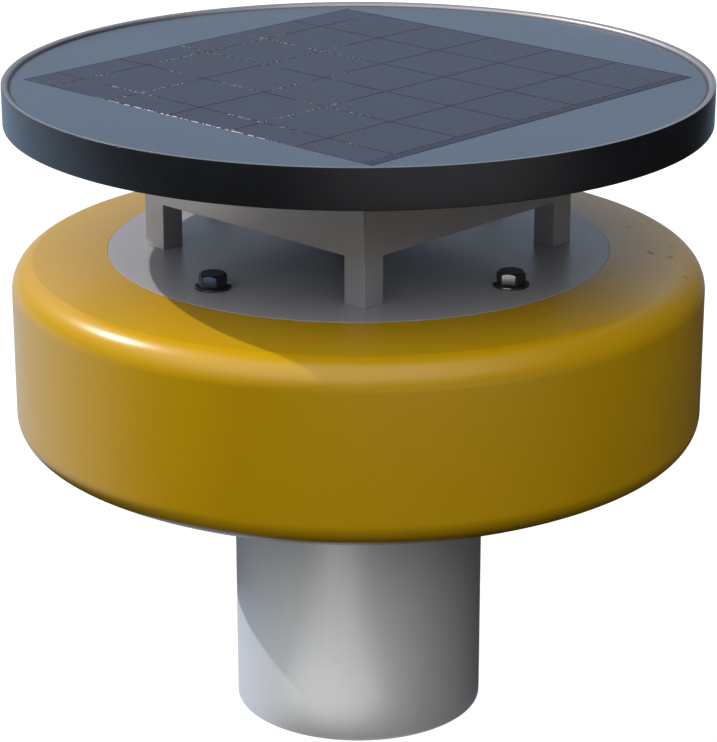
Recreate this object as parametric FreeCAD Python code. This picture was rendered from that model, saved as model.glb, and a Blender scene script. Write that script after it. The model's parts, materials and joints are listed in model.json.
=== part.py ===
import FreeCAD, Part
import math
import os

# Solar marker buoy. Sizes are in millimetres. Z is up, the axis of the tube and float is x = y = 0,
# and z = 0 is the tube's lower rim, which the buoy stands on.

# Clearances
weld_gap = 0.1
slip_gap = 0.3
well_gap = 0.5
thread_gap = 0.05
# How far a cutting tool runs past the faces it cuts
cut_past = 1.0

# Well tube and what closes it below
tube_diameter = 244.5
tube_wall = 6.0
tube_recess = 60.0
well_bottom_thickness = 8.0
eye_radius = 26.0
eye_hole_radius = 13.0
eye_thickness = 16.0
eye_rim_gap = 8.0

# Float
float_diameter = 665.5
float_base_z = 273.7
float_height = 193.8
shoulder_drop = 3.8
shoulder_tilt = 12.0
top_round = 29.3
bottom_round = 25.0
bottom_crown = 134.0
crown_inset = 81.5

# Deck plate, gasket, tube flange and clamp ring
deck_thickness = 3.0
deck_recess = 2.7
deck_margin = 47.7
gasket_thickness = 3.0
flange_thickness = 8.0
flange_margin = 22.0
clamp_ring_thickness = 6.0

# Bolts that clamp the deck plate, flange, float and clamp ring together
bolt_count = 4
bolt_circle = 386.0
bolt_diameter = 16.0
bolt_hole_gap = 0.75
bolt_flats = 24.0
bolt_head_height = 14.0
bolt_head_crown = 22.8
bolt_flange_diameter = 34.0
bolt_flange_edge = 2.4
bolt_flange_slope = 25.0
bolt_collar_round = 1.0
bolt_foot_round = 0.4
bolt_tip_chamfer = 1.5
bolt_tail = 4.7
sleeve_wall = 2.25
washer_diameter = 30.0
washer_thickness = 3.0
clamp_nut_height = 16.0
crown_slope = 30.0

# Stand between the deck plate and the tray
stand_side = 288.6
stand_height = 128.4
post_side = 25.0
post_wall = 3.0
skirt_height = 83.9
skirt_thickness = 4.0
flange_bar_width = 30.0
flange_bar_thickness = 5.0

# Screws and nuts that hold the tray on the stand
screw_diameter = 6.0
screw_spread = 140.0
screw_head_diameter = 10.5
screw_head_height = 4.0
screw_nut_flats = 10.0
screw_nut_height = 5.0
screw_tail = 2.0

# Panel tray
tray_diameter = 670.0
tray_height = 37.5
tray_wall = 7.0
tray_floor = 4.0
tray_edge_round = 1.2
rim_edge_round = 0.5

# Module board, what carries it, and the cells
board_depth = 3.4
board_thickness = 6.0
seal_width = 2.0
support_width = 27.0
spacer_count = 8
spacer_circle = 400.0
spacer_diameter = 40.0
laminate_corner_gap = 10.47
laminate_thickness = 1.5
laminate_edge = 1.4
ribbon_strip = 11.0
cell_pitch = 80.0
cell_gap = 2.2
cell_thickness = 0.3
ribbon_width = 1.6
ribbon_pitch = 4.0
ribbon_count = 2

# Junction box under the board
box_length = 110.0
box_width = 70.0
box_floor_gap = 3.6
box_wall = 2.5
box_corner = 6.0

# Cable glands
gland_thread = 20.0
gland_flats = 24.0
gland_body = 8.0
gland_dome = 18.0
gland_tip = 14.0
gland_shoulder = 0.5
gland_tip_round = 1.0
gland_thread_tail = 1.0
gland_bore = 7.0
locknut_height = 5.0
tray_gland_x = 82.0

# Ballast, battery and equipment in the tube
ballast_height = 40.0
ballast_gap = 2.0
rod_diameter = 8.0
rod_side_gap = 9.0
rod_spread = 80.0
rod_tail = 4.0
rod_nut_flats = 13.0
rod_nut_height = 6.5
rod_nut_crown_inset = 0.3
battery_length = 151.0
battery_width = 98.0
battery_height = 95.0
battery_edge = 4.0
terminal_diameter = 12.0
terminal_height = 3.0
shelf_thickness = 4.0
case_length = 120.0
case_width = 70.0
case_height = 40.0
case_edge = 5.0

# Heights and radii that follow from the sizes above
tube_radius = tube_diameter / 2
well_radius = tube_radius - tube_wall
float_radius = float_diameter / 2
seat_z = float_base_z + float_height
deck_top_z = seat_z + deck_thickness
flange_top_z = seat_z - gasket_thickness
flange_low_z = flange_top_z - flange_thickness
ring_low_z = float_base_z - clamp_ring_thickness
bolt_ring_radius = bolt_circle / 2
deck_radius = bolt_ring_radius + deck_margin
flange_radius = bolt_ring_radius + flange_margin
bolt_radius = bolt_diameter / 2
bolt_hole_radius = bolt_radius + bolt_hole_gap
sleeve_radius = bolt_hole_radius + sleeve_wall
tray_z = deck_top_z + stand_height
tray_radius = tray_diameter / 2
tray_inner_radius = tray_radius - tray_wall
floor_z = tray_z + tray_floor
rim_z = tray_z + tray_height
board_top_z = rim_z - board_depth
board_low_z = board_top_z - board_thickness
board_radius = tray_inner_radius - seal_width
skirt_low_z = tray_z - skirt_height
bar_low_z = tray_z - flange_bar_thickness
stand_half = stand_side / 2
bar_outer = stand_half - skirt_thickness
bar_inner = bar_outer - flange_bar_width
post_inner = stand_half - post_side
screw_line = (bar_outer + bar_inner) / 2
box_low_z = floor_z + box_floor_gap + box_wall
laminate_low_z = board_top_z - laminate_thickness
cell_low_z = board_top_z - cell_thickness
well_floor_z = tube_recess + well_bottom_thickness
ballast_top_z = well_floor_z + ballast_height
battery_top_z = ballast_top_z + battery_height
shelf_z = battery_top_z + terminal_height + slip_gap
shelf_top_z = shelf_z + shelf_thickness
rod_top_z = shelf_top_z + rod_nut_height + rod_tail
rod_x = battery_length / 2 + rod_side_gap
rod_y = rod_spread / 2

# The laminate's corners keep their gap from the board's edge. It holds a square field of cells, with
# the ribbons' strip on one side and a plain edge on the next.
laminate_diagonal = 2 * (board_radius - laminate_corner_gap)
strip_difference = ribbon_strip - laminate_edge
strip_sum = ribbon_strip + laminate_edge
cell_field = (math.sqrt(2 * laminate_diagonal ** 2 - strip_difference ** 2) - strip_sum) / 2
laminate_length = cell_field + ribbon_strip
laminate_width = cell_field + laminate_edge


def point(x, y, z):
    return FreeCAD.Vector(x, y, z)


def cylinder(radius, low, high, x=0.0, y=0.0):
    return Part.makeCylinder(radius, high - low, point(x, y, low))


def ring(outer, inner, low, high, x=0.0, y=0.0):
    return cylinder(outer, low, high, x, y).cut(cylinder(inner, low, high, x, y))


def block(length, width, low, high, x=0.0, y=0.0):
    """A box centred on x and y."""
    corner = point(x - length / 2, y - width / 2, low)
    return Part.makeBox(length, width, high - low, corner)


def soft_block(length, width, low, high, radius):
    """A box with rounded upright edges."""
    shape = block(length, width, low, high)
    upright = [edge for edge in shape.Edges if abs(edge.BoundBox.ZLength - (high - low)) < 1e-6]
    return shape.makeFillet(radius, upright)


def turned(corners):
    """A body of revolution. Each corner is (radius, height) or (radius, height, rounding)."""
    edges = []
    joints = []
    count = len(corners)
    for index, corner in enumerate(corners):
        here = point(corner[0], 0, corner[1])
        rounding = corner[2] if len(corner) > 2 else 0.0
        if not rounding:
            joints.append((here, None, here))
            continue
        before = corners[index - 1]
        after = corners[(index + 1) % count]
        back = (point(before[0], 0, before[1]) - here).normalize()
        ahead = (point(after[0], 0, after[1]) - here).normalize()
        half_angle = back.getAngle(ahead) / 2
        reach = rounding / math.tan(half_angle)
        centre = here + (back + ahead).normalize() * (rounding / math.sin(half_angle))
        middle = centre + (here - centre).normalize() * rounding
        joints.append((here + back * reach, middle, here + ahead * reach))
    for index, (start, middle, end) in enumerate(joints):
        if middle is not None:
            edges.append(Part.Arc(start, middle, end).toShape())
        following = joints[(index + 1) % count][0]
        if end.distanceToPoint(following) > 1e-6:
            edges.append(Part.LineSegment(end, following).toShape())
    return spun(edges)


def spun(edges):
    face = Part.Face(Part.Wire(edges))
    return face.revolve(point(0, 0, 0), point(0, 0, 1), 360)


def hexagon(flats, low, high, x=0.0, y=0.0):
    """A hexagonal bar, with two of its flats facing along x."""
    corner_radius = flats / math.sqrt(3)
    corners = []
    for turn in range(7):
        angle = math.radians(30 + 60 * turn)
        across = x + corner_radius * math.cos(angle)
        along = y + corner_radius * math.sin(angle)
        corners.append(point(across, along, low))
    return Part.Face(Part.makePolygon(corners)).extrude(point(0, 0, high - low))


def crowned_hexagon(flats, low, high, crown_radius, top=True, bottom=False):
    """A hexagonal bar on the axis whose ends are turned down to a circle."""
    corner_radius = flats / math.sqrt(3) + cut_past
    fall = (corner_radius - crown_radius) * math.tan(math.radians(crown_slope))
    outline = [(0, low)]
    if bottom:
        outline += [(crown_radius, low), (corner_radius, low + fall)]
    else:
        outline += [(corner_radius, low)]
    if top:
        outline += [(corner_radius, high - fall), (crown_radius, high)]
    else:
        outline += [(corner_radius, high)]
    outline += [(0, high)]
    return hexagon(flats, low, high).common(turned(outline))


def moved(shape, x, y, z=0.0):
    copy = shape.copy()
    copy.translate(point(x, y, z))
    return copy


def around(count, radius, first_angle=0.0):
    places = []
    for number in range(count):
        angle = math.radians(first_angle + 360.0 * number / count)
        places.append((radius * math.cos(angle), radius * math.sin(angle)))
    return places


def group(shape, places):
    """Copies of one shape, as separate solids of one node."""
    return Part.makeCompound([moved(shape, x, y) for x, y in places])


def drilled(shape, places, radius, low, high):
    for x, y in places:
        shape = shape.cut(cylinder(radius, low - cut_past, high + cut_past, x, y))
    return shape


bolt_places = around(bolt_count, bolt_ring_radius)
rod_places = [(x, y) for x in (-rod_x, rod_x) for y in (-rod_y, rod_y)]
screw_places = []
for side in (-screw_line, screw_line):
    for step in (-screw_spread / 2, screw_spread / 2):
        screw_places.append((side, step))
        screw_places.append((step, side))


def float_body():
    """The moulded float: a crowned underside, straight wall, rounded shoulder, a shallow recess for
    the deck plate and a deeper one for the tube's flange."""
    bore = tube_radius + well_gap
    seat_radius = flange_radius + slip_gap
    flat_radius = float_radius - crown_inset
    # the small bottom round touches the large crown from inside
    crown_centre = point(flat_radius, 0, float_base_z + bottom_crown)
    across = crown_inset - bottom_round
    down = math.sqrt((bottom_crown - bottom_round) ** 2 - across ** 2)
    round_centre = point(float_radius - bottom_round, 0, crown_centre.z - down)
    outward = (round_centre - crown_centre).normalize()
    touch = crown_centre + outward * bottom_crown
    crown_half = (outward + point(0, 0, -1)).normalize()
    round_half = (outward + point(1, 0, 0)).normalize()
    # the top round starts at the shoulder with a small tilt and ends in the upright wall
    tilt = math.radians(shoulder_tilt)
    shoulder_z = seat_z - shoulder_drop
    top_centre = point(float_radius - top_round, 0, shoulder_z - top_round * math.cos(tilt))
    shoulder = top_centre + point(math.sin(tilt), 0, math.cos(tilt)) * top_round
    top_half = (shoulder - top_centre + point(top_round, 0, 0)).normalize()
    bore_low = point(bore, 0, float_base_z)
    flat_edge = point(flat_radius, 0, float_base_z)
    wall_low = point(float_radius, 0, round_centre.z)
    wall_high = point(float_radius, 0, top_centre.z)
    recess_radius = deck_radius + slip_gap
    recess_high = point(recess_radius, 0, seat_z + deck_recess)
    recess_low = point(recess_radius, 0, seat_z)
    seat_edge = point(seat_radius, 0, seat_z)
    seat_corner = point(seat_radius, 0, flange_low_z)
    bore_high = point(bore, 0, flange_low_z)
    edges = [
        Part.LineSegment(bore_low, flat_edge).toShape(),
        Part.Arc(flat_edge, crown_centre + crown_half * bottom_crown, touch).toShape(),
        Part.Arc(touch, round_centre + round_half * bottom_round, wall_low).toShape(),
        Part.LineSegment(wall_low, wall_high).toShape(),
        Part.Arc(wall_high, top_centre + top_half * top_round, shoulder).toShape(),
        Part.LineSegment(shoulder, recess_high).toShape(),
        Part.LineSegment(recess_high, recess_low).toShape(),
        Part.LineSegment(recess_low, seat_edge).toShape(),
        Part.LineSegment(seat_edge, seat_corner).toShape(),
        Part.LineSegment(seat_corner, bore_high).toShape(),
        Part.LineSegment(bore_high, bore_low).toShape(),
    ]
    return drilled(spun(edges), bolt_places, sleeve_radius + weld_gap, float_base_z, seat_z)


def well_tube():
    return ring(tube_radius, well_radius, 0, flange_top_z)


def tube_flange():
    shape = ring(flange_radius, tube_radius + weld_gap, flange_low_z, flange_top_z)
    return drilled(shape, bolt_places, bolt_hole_radius, flange_low_z, flange_top_z)


def deck_gasket():
    shape = ring(flange_radius, well_radius, flange_top_z, seat_z)
    return drilled(shape, bolt_places, bolt_hole_radius, flange_top_z, seat_z)


def deck_plate():
    shape = cylinder(deck_radius, seat_z, deck_top_z)
    shape = drilled(shape, bolt_places, bolt_hole_radius, seat_z, deck_top_z)
    return drilled(shape, [(0, 0)], gland_thread / 2 + slip_gap, seat_z, deck_top_z)


def clamp_ring():
    shape = ring(flange_radius, tube_radius + slip_gap, ring_low_z, float_base_z)
    return drilled(shape, bolt_places, bolt_hole_radius, ring_low_z, float_base_z)


def bolt_sleeves():
    sleeve = ring(sleeve_radius, bolt_hole_radius, float_base_z, flange_low_z)
    return group(sleeve, bolt_places)


def deck_bolts():
    """Hexagon flange bolts, head up."""
    flange = bolt_flange_diameter / 2
    hex_side = bolt_flats / 2
    rise = (flange - hex_side) * math.tan(math.radians(bolt_flange_slope))
    collar_z = deck_top_z + bolt_flange_edge
    tip_z = ring_low_z - washer_thickness - clamp_nut_height - bolt_tail
    collar = turned([
        (0, deck_top_z),
        (flange, deck_top_z, bolt_foot_round),
        (flange, collar_z, bolt_collar_round),
        (hex_side, collar_z + rise),
        (0, collar_z + rise),
    ])
    head = crowned_hexagon(
        bolt_flats, deck_top_z, deck_top_z + bolt_head_height, bolt_head_crown / 2)
    shank = turned([
        (0, tip_z),
        (bolt_radius - bolt_tip_chamfer, tip_z),
        (bolt_radius, tip_z + bolt_tip_chamfer),
        (bolt_radius, collar_z),
        (0, collar_z),
    ])
    return group(collar.fuse([head, shank]).removeSplitter(), bolt_places)


def clamp_washers():
    low = ring_low_z - washer_thickness
    washer = ring(washer_diameter / 2, bolt_radius + slip_gap, low, ring_low_z)
    return group(washer, bolt_places)


def clamp_nuts():
    high = ring_low_z - washer_thickness
    low = high - clamp_nut_height
    nut = crowned_hexagon(bolt_flats, low, high, bolt_head_crown / 2, bottom=True)
    nut = nut.cut(cylinder(bolt_radius + thread_gap, low, high))
    return group(nut, bolt_places)


def well_bottom():
    return cylinder(well_radius - weld_gap, tube_recess, well_floor_z)


def mooring_eye():
    """A thick lug under the well bottom, with its hole along y."""
    centre_z = eye_rim_gap + eye_radius
    stem = block(2 * eye_radius, eye_thickness, centre_z, tube_recess)
    start = point(0, -eye_thickness / 2, centre_z)
    along = point(0, 1, 0)
    end = Part.makeCylinder(eye_radius, eye_thickness, start, along)
    hole = Part.makeCylinder(eye_hole_radius, eye_thickness, start, along)
    return stem.fuse(end).cut(hole).removeSplitter()


def ballast_weight():
    shape = cylinder(well_radius - ballast_gap, well_floor_z, ballast_top_z)
    return drilled(shape, rod_places, rod_diameter / 2 + slip_gap, well_floor_z, ballast_top_z)


def tie_rods():
    return group(cylinder(rod_diameter / 2, well_floor_z, rod_top_z), rod_places)


def rod_nuts():
    """One nut on the ballast and one on the shelf, on each rod."""
    solids = []
    for low in (ballast_top_z, shelf_top_z):
        high = low + rod_nut_height
        nut = crowned_hexagon(rod_nut_flats, low, high, rod_nut_flats / 2 - rod_nut_crown_inset)
        nut = nut.cut(cylinder(rod_diameter / 2 + thread_gap, low, high))
        solids += [moved(nut, x, y) for x, y in rod_places]
    return Part.makeCompound(solids)


def battery():
    shape = soft_block(battery_length, battery_width, ballast_top_z, battery_top_z, battery_edge)
    terminal_x = battery_length / 2 - terminal_diameter
    for x in (-terminal_x, terminal_x):
        terminal = cylinder(terminal_diameter / 2, battery_top_z, battery_top_z + terminal_height, x)
        shape = shape.fuse(terminal)
    return shape


def equipment_shelf():
    """A plate held down on the battery's terminals by the rods, with two sides cut straight."""
    shape = cylinder(well_radius - ballast_gap, shelf_z, shelf_top_z)
    shape = shape.common(block(4 * well_radius, rod_spread + 4 * rod_diameter, shelf_z, shelf_top_z))
    return drilled(shape, rod_places, rod_diameter / 2 + slip_gap, shelf_z, shelf_top_z)


def control_case():
    return soft_block(case_length, case_width, shelf_top_z, shelf_top_z + case_height, case_edge)


def stand_post(sign_x, sign_y):
    middle = stand_half - post_side / 2
    x = sign_x * middle
    y = sign_y * middle
    hollow = post_side - 2 * post_wall
    outer = block(post_side, post_side, deck_top_z, tray_z, x, y)
    return outer.cut(block(hollow, hollow, deck_top_z, tray_z, x, y))


def stand_skirt(along_x, sign):
    """A plate between two posts, flush with their outer faces."""
    span = 2 * post_inner
    offset = sign * (stand_half - skirt_thickness / 2)
    if along_x:
        return block(span, skirt_thickness, skirt_low_z, tray_z, 0, offset)
    return block(skirt_thickness, span, skirt_low_z, tray_z, offset, 0)


def stand_flange_bars():
    """Flat bars inside the skirt's upper edge, which take the tray's screws."""
    bars = []
    middle = (bar_outer + bar_inner) / 2
    for sign in (-1, 1):
        long_bar = block(2 * post_inner, flange_bar_width, bar_low_z, tray_z, 0, sign * middle)
        short_bar = block(flange_bar_width, 2 * bar_inner, bar_low_z, tray_z, sign * middle, 0)
        bars += [long_bar, short_bar]
    hole = screw_diameter / 2 + slip_gap
    return Part.makeCompound([drilled(bar, screw_places, hole, bar_low_z, tray_z) for bar in bars])


def panel_tray():
    """The round pan: a flat floor and a rim."""
    shape = turned([
        (0, tray_z),
        (tray_radius, tray_z, tray_edge_round),
        (tray_radius, rim_z, rim_edge_round),
        (tray_inner_radius, rim_z, rim_edge_round),
        (tray_inner_radius, floor_z),
        (0, floor_z),
    ])
    shape = drilled(shape, screw_places, screw_diameter / 2 + slip_gap, tray_z, floor_z)
    return drilled(shape, [(tray_gland_x, 0)], gland_thread / 2 + slip_gap, tray_z, floor_z)


def tray_screws():
    """Pan-head screws through the tray's floor and the flange bars."""
    tip_z = bar_low_z - screw_nut_height - screw_tail
    head = turned([
        (0, floor_z),
        (screw_head_diameter / 2, floor_z),
        (screw_head_diameter / 2, floor_z + screw_head_height, screw_head_height / 2),
        (0, floor_z + screw_head_height),
    ])
    shank = cylinder(screw_diameter / 2, tip_z, floor_z + screw_head_height / 2)
    return group(head.fuse(shank).removeSplitter(), screw_places)


def tray_nuts():
    low = bar_low_z - screw_nut_height
    nut = hexagon(screw_nut_flats, low, bar_low_z)
    nut = nut.cut(cylinder(screw_diameter / 2 + thread_gap, low, bar_low_z))
    return group(nut, screw_places)


def board_support_ring():
    outer = tray_inner_radius - slip_gap
    return ring(outer, outer - support_width, floor_z, board_low_z)


def board_spacers():
    places = around(spacer_count, spacer_circle / 2, 180.0 / spacer_count)
    return group(cylinder(spacer_diameter / 2, floor_z, board_low_z), places)


def module_board():
    """The round sheet, with a shallow pocket for the cell laminate."""
    shape = cylinder(board_radius, board_low_z, board_top_z)
    length = laminate_length + 2 * weld_gap
    width = laminate_width + 2 * weld_gap
    return shape.cut(block(length, width, laminate_low_z, board_top_z + cut_past))


def edge_seal():
    return ring(tray_inner_radius - weld_gap, board_radius + weld_gap, board_low_z, board_top_z)


def cell_spans(side):
    """Where the cells of one direction lie: half a cell at the laminate's edge, then whole cells, and
    what is left where the field ends."""
    start = -side / 2
    end = start + cell_field
    edges = [start]
    line = start + cell_pitch / 2
    while line < end - 2 * cell_gap:
        edges.append(line)
        line += cell_pitch
    edges.append(end)
    return [(low + cell_gap / 2, high - cell_gap / 2) for low, high in zip(edges, edges[1:])]


def cell_boxes():
    boxes = []
    for low_x, high_x in cell_spans(laminate_length):
        for low_y, high_y in cell_spans(laminate_width):
            corner = point(low_x, low_y, cell_low_z)
            boxes.append(Part.makeBox(high_x - low_x, high_y - low_y, cell_thickness, corner))
    return boxes


def ribbon_boxes():
    """Flat ribbons side by side along the strip beyond the last column of cells."""
    strip_start = laminate_length / 2 - ribbon_strip
    low_y = cell_spans(laminate_width)[0][0]
    high_y = cell_spans(laminate_width)[-1][1]
    boxes = []
    for number in range(ribbon_count):
        x = strip_start + ribbon_pitch * (number + 0.5)
        corner = point(x, low_y, cell_low_z)
        boxes.append(Part.makeBox(ribbon_width, high_y - low_y, cell_thickness, corner))
    return boxes


def cell_laminate():
    """The sheet under the cells. It is seen as thin lines between them."""
    shape = block(laminate_length, laminate_width, laminate_low_z, board_top_z)
    return shape.cut(Part.makeCompound(cell_boxes() + ribbon_boxes()))


def junction_box():
    """A shallow case glued under the board, open below."""
    shape = soft_block(box_length, box_width, box_low_z, board_low_z, box_corner)
    inner_length = box_length - 2 * box_wall
    inner_width = box_width - 2 * box_wall
    inner_high = board_low_z - box_wall
    inner = soft_block(inner_length, inner_width, box_low_z, inner_high, box_corner - box_wall)
    return shape.cut(inner)


def junction_box_lid():
    return soft_block(box_length, box_width, box_low_z - box_wall, box_low_z, box_corner)


def gland(plate_low, plate_high, upward):
    """A cable gland body: a hexagon and dome outside the plate, and a thread through it."""
    face = plate_high if upward else plate_low
    far = plate_low if upward else plate_high
    out = 1.0 if upward else -1.0
    thread_end = far - out * (locknut_height + gland_thread_tail)
    body_end = face + out * gland_body
    tip_end = body_end + out * gland_dome
    bore = gland_bore / 2
    low, high = sorted((face, body_end))
    hexagonal = hexagon(gland_flats, low, high)
    low, high = sorted((thread_end, face + out * gland_body / 2))
    thread = cylinder(gland_thread / 2, low, high)
    dome = turned([
        (0, face + out * gland_body / 2),
        (gland_flats / 2 - gland_shoulder, face + out * gland_body / 2),
        (gland_flats / 2 - gland_shoulder, body_end + out * gland_dome / 2),
        (gland_tip / 2, tip_end, gland_tip_round),
        (0, tip_end),
    ])
    low, high = sorted((thread_end, tip_end))
    return hexagonal.fuse([thread, dome]).cut(cylinder(bore, low, high))


def gland_locknut(low):
    shape = hexagon(gland_flats, low, low + locknut_height)
    return shape.cut(cylinder(gland_thread / 2 + thread_gap, low, low + locknut_height))


def cable_glands():
    deck = gland(seat_z, deck_top_z, True)
    tray = gland(tray_z, floor_z, False)
    return Part.makeCompound([deck, moved(tray, tray_gland_x, 0)])


def gland_locknuts():
    deck = gland_locknut(seat_z - locknut_height)
    tray = gland_locknut(floor_z)
    return Part.makeCompound([deck, moved(tray, tray_gland_x, 0)])


nodes = {
    "panel_tray": panel_tray(),
    "board_support_ring": board_support_ring(),
    "board_spacers": board_spacers(),
    "module_board": module_board(),
    "edge_seal": edge_seal(),
    "cell_laminate": cell_laminate(),
    "solar_cells": Part.makeCompound(cell_boxes()),
    "cross_ribbons": Part.makeCompound(ribbon_boxes()),
    "junction_box": junction_box(),
    "junction_box_lid": junction_box_lid(),
    "cable_glands": cable_glands(),
    "gland_locknuts": gland_locknuts(),
    "stand_post_front_left": stand_post(-1, -1),
    "stand_post_front_right": stand_post(1, -1),
    "stand_post_rear_left": stand_post(-1, 1),
    "stand_post_rear_right": stand_post(1, 1),
    "stand_skirt_front": stand_skirt(True, -1),
    "stand_skirt_rear": stand_skirt(True, 1),
    "stand_skirt_left": stand_skirt(False, -1),
    "stand_skirt_right": stand_skirt(False, 1),
    "stand_flange_bars": stand_flange_bars(),
    "tray_screws": tray_screws(),
    "tray_nuts": tray_nuts(),
    "deck_plate": deck_plate(),
    "deck_gasket": deck_gasket(),
    "deck_bolts": deck_bolts(),
    "bolt_sleeves": bolt_sleeves(),
    "clamp_ring": clamp_ring(),
    "clamp_washers": clamp_washers(),
    "clamp_nuts": clamp_nuts(),
    "float_body": float_body(),
    "well_tube": well_tube(),
    "tube_flange": tube_flange(),
    "well_bottom": well_bottom(),
    "mooring_eye": mooring_eye(),
    "ballast_weight": ballast_weight(),
    "tie_rods": tie_rods(),
    "rod_nuts": rod_nuts(),
    "battery": battery(),
    "equipment_shelf": equipment_shelf(),
    "control_case": control_case(),
}

os.makedirs("parts", exist_ok=True)
for name, shape in nodes.items():
    shape.exportStep("parts/" + name + ".step")
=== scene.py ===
import json
import math

import bmesh
import bpy
from bpy.props import FloatProperty, IntProperty, PointerProperty, StringProperty
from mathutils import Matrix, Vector


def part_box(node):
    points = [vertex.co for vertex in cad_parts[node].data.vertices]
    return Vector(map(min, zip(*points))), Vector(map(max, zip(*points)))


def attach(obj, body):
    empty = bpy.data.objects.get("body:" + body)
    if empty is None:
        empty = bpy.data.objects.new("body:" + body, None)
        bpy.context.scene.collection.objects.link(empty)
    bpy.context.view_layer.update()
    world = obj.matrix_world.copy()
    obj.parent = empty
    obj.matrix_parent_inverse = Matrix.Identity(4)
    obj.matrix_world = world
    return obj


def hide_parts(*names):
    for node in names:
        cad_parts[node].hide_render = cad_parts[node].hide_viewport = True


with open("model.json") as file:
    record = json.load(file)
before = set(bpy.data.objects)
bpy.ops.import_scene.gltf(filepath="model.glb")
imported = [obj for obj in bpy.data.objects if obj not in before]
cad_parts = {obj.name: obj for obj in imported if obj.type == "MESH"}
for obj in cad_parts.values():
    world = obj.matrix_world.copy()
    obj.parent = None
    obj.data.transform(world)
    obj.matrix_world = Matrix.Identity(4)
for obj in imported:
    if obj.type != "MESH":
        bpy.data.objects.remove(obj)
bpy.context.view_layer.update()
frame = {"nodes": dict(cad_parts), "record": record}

bl_info = {
    "name": "Solar marker buoy",
    "version": (1, 0, 0),
    "blender": (4, 5, 0),
    "location": "3D View > Sidebar > Buoy",
    "description": "Builds the looks of the solar marker buoy around its CAD frame",
    "category": "Object",
}

MM = 0.001


def box_mm(node):
    """A CAD node's lowest and highest corner, in millimetres."""
    low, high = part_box(node)
    return [value / MM for value in low], [value / MM for value in high]


FLOAT_LOW, FLOAT_HIGH = box_mm("float_body")
TRAY_LOW, TRAY_HIGH = box_mm("panel_tray")
TUBE_LOW, TUBE_HIGH = box_mm("well_tube")
DECK_LOW, DECK_HIGH = box_mm("deck_plate")
BOLT_LOW, BOLT_HIGH = box_mm("deck_bolts")
BOARD_LOW, BOARD_HIGH = box_mm("module_board")
SHEET_LOW, SHEET_HIGH = box_mm("cell_laminate")
CELL_LOW, CELL_HIGH = box_mm("solar_cells")
POST_LOW, POST_HIGH = box_mm("stand_post_front_left")
SKIRT_LOW, SKIRT_HIGH = box_mm("stand_skirt_front")

# The float's arcs turn by less than this at each step, and its shoulder line by more
SHOULDER_LINE = 6.0
# Rounding of the tray's outer and inner upper edge, and how far its bare lip reaches below the
# board's face
EDGE = 0.5
LIP_ROUND = 4.2
LIP_DEPTH = 1.0
# Edges that turn by more than these angles, in degrees, stay sharp or are rounded, and faces that
# turn by less than FLAT are joined
SHARP = 30.0
BOLT_SHARP = 22.0
ROUNDED_FROM = 40.0
FLAT = 0.5
# Points nearer than this, in metres, are one
SAME_PLACE = 1e-6
# The float's bore and recesses are clear of the tube, flange and deck plate by these
SLIP_GAP = 0.3
BORE_GAP = 0.5
FLANGE_RADIUS = box_mm("tube_flange")[1][0] + SLIP_GAP
FLANGE_LOW = box_mm("tube_flange")[0][2]
BORE_RADIUS = TUBE_HIGH[0] + BORE_GAP


class BuoyFloatSizes(bpy.types.PropertyGroup):
    """Sizes of the float, in millimetres."""
    shoulder_drop: FloatProperty(
        name="Shoulder drop",
        description="Fall of the top from the deck plate to the shoulder, in mm",
        default=3.8, min=0.0)
    shoulder_tilt: FloatProperty(
        name="Shoulder tilt", description="Slope at which the top round starts",
        default=math.radians(17.0), subtype="ANGLE")
    top_round: FloatProperty(
        name="Top round", description="Radius of the upper edge, in mm", default=29.3, min=1.0)
    bottom_round: FloatProperty(
        name="Bottom round", description="Radius of the lower edge, in mm", default=25.0, min=1.0)
    bottom_crown: FloatProperty(
        name="Bottom crown", description="Radius of the crowned underside, in mm",
        default=134.0, min=1.0)
    crown_inset: FloatProperty(
        name="Crown inset", description="Width of the crowned underside, in mm",
        default=81.5, min=1.0)
    segments: IntProperty(
        name="Segments", description="Faces around each turned piece", default=288, min=24)
    colour: StringProperty(
        name="Colour", description="Colour of the moulded skin, as an sRGB hex value",
        default="#cea002")


class BuoyPanelSizes(bpy.types.PropertyGroup):
    """Sizes of the tray and its cells, in millimetres."""
    rim_wall: FloatProperty(
        name="Rim wall", description="Thickness of the tray's rim, in mm", default=7.0, min=0.5)
    floor: FloatProperty(
        name="Floor", description="Thickness of the tray's floor, in mm", default=4.0, min=0.5)
    cell_pitch: FloatProperty(
        name="Cell pitch", description="Distance from one cell to the next, in mm",
        default=80.0, min=5.0)
    cell_gap: FloatProperty(
        name="Cell gap", description="Gap between two cells, in mm", default=2.2, min=0.1)
    cell_rows: IntProperty(
        name="Cell rows", description="Cells on each side, with the half cell", default=6, min=1)
    cell_colour: StringProperty(
        name="Cell colour", description="Colour of the silicon, as an sRGB hex value",
        default="#1f2637")


class BuoyDeckSizes(bpy.types.PropertyGroup):
    """Sizes of the deck bolts and the stand's edges, in millimetres."""
    bolt_count: IntProperty(
        name="Bolts", description="Number of bolts on the circle", default=4, min=1)
    bolt_circle: FloatProperty(
        name="Bolt circle", description="Diameter of the bolt circle, in mm",
        default=386.0, min=1.0)
    bolt_flats: FloatProperty(
        name="Bolt flats", description="Width of the head across its flats, in mm",
        default=24.0, min=1.0)
    bolt_crown: FloatProperty(
        name="Bolt crown", description="Diameter of the flat circle on the head, in mm",
        default=22.8, min=1.0)
    bolt_shank: FloatProperty(
        name="Bolt shank", description="Diameter of the shank, in mm", default=16.0, min=1.0)
    tube_wall: FloatProperty(
        name="Tube wall", description="Thickness of the tube, in mm", default=6.0, min=0.5)
    edge_round: FloatProperty(
        name="Edge round", description="Rounding of the stand's painted edges, in mm",
        default=0.8, min=0.0)


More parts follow.
